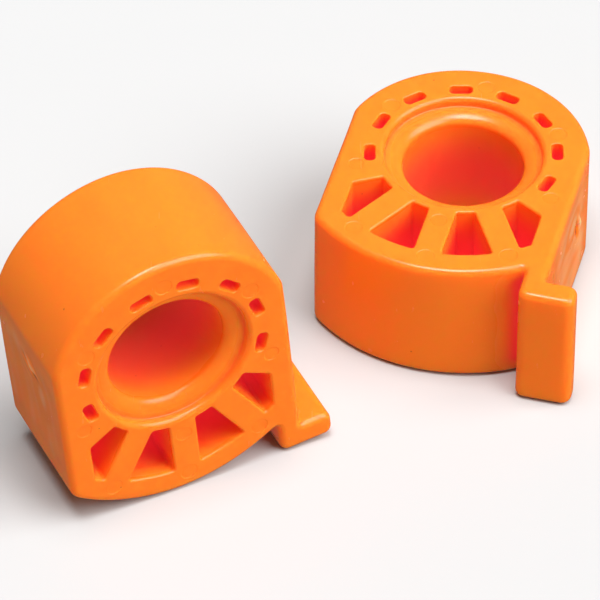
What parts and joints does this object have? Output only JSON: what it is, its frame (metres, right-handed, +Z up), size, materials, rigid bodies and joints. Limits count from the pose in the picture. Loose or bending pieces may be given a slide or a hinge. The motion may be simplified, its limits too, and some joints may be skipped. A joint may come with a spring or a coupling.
{
  "type": "cam block",
  "caption": "Moulded plastic cam blocks, one standing and one lying, each with a recessed through bore, cored face, side flats, curved base and stop foot.",
  "frame": {"origin": "on the floor, under the middle of the pair's bounding box", "axes": "+Z up; +X along the pair's longest side, from the lying block to the standing block; the lying block's cored face looks to -Y and +X, and the standing block's cored face looks up"},
  "size_m": [0.1238, 0.1096, 0.0647],
  "materials": {
    "orange_plastic": "smooth moulded, satin gloss, slightly translucent"
  },
  "bodies": {
    "standing": {"standing_block": "orange_plastic"},
    "lying": {"lying_block": "orange_plastic"}
  },
  "joints": [
    {"name": "lying_block_rock", "type": "hinge", "parent": "standing", "child": "lying", "pos_m": [-0.03207, -0.03015, 0.0376], "axis": [0.4431, -0.8965, 0], "range_deg": [0, 20]}
  ]
}
